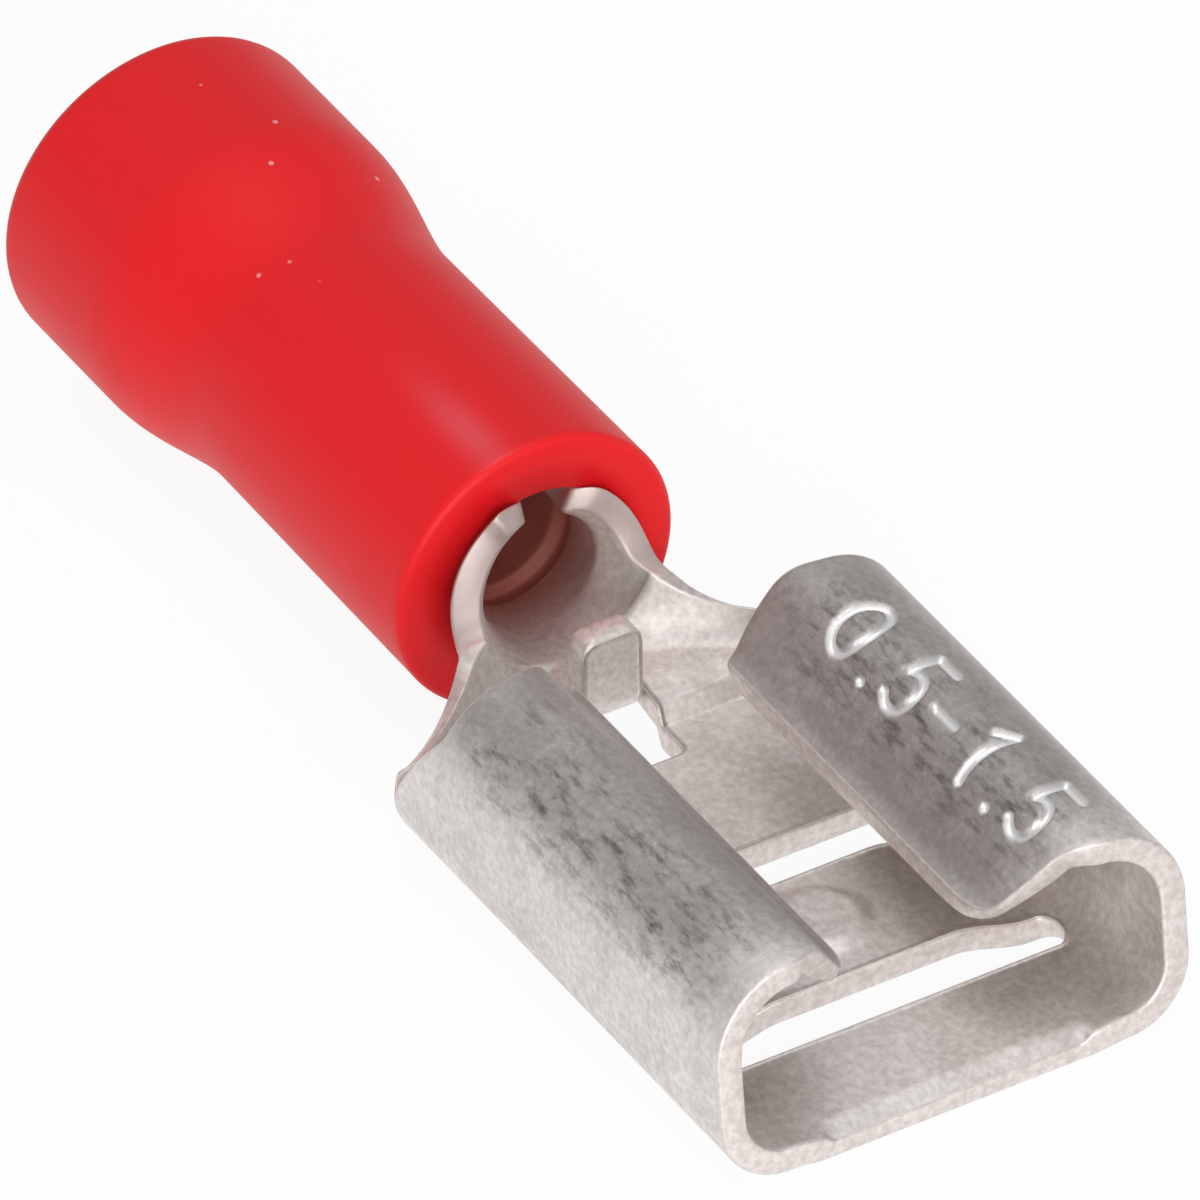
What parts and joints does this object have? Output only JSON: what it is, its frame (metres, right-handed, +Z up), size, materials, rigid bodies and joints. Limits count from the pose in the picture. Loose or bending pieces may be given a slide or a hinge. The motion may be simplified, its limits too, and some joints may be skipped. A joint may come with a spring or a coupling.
{
  "type": "female spade terminal",
  "caption": "Crimp-on female spade terminal: a rolled tinned-brass receptacle with a sprung floor and a red PVC sleeve on its wire barrel.",
  "frame": {"origin": "middle of the mouth, on the mid-plane of the tab that the receptacle takes", "axes": "+X out of the mouth, the way a tab is pulled off; +Z up, from the floor of the receptacle towards its rolled flanges; the part is nearly symmetric about the XZ plane"},
  "size_m": [0.0212, 0.0074, 0.0051],
  "materials": {
    "tinned_brass": "matt tin plating over brass",
    "red_pvc": "satin moulded vinyl"
  },
  "bodies": {
    "root": {"terminal_body": "tinned_brass", "insulating_sleeve": "red_pvc"}
  },
  "joints": []
}
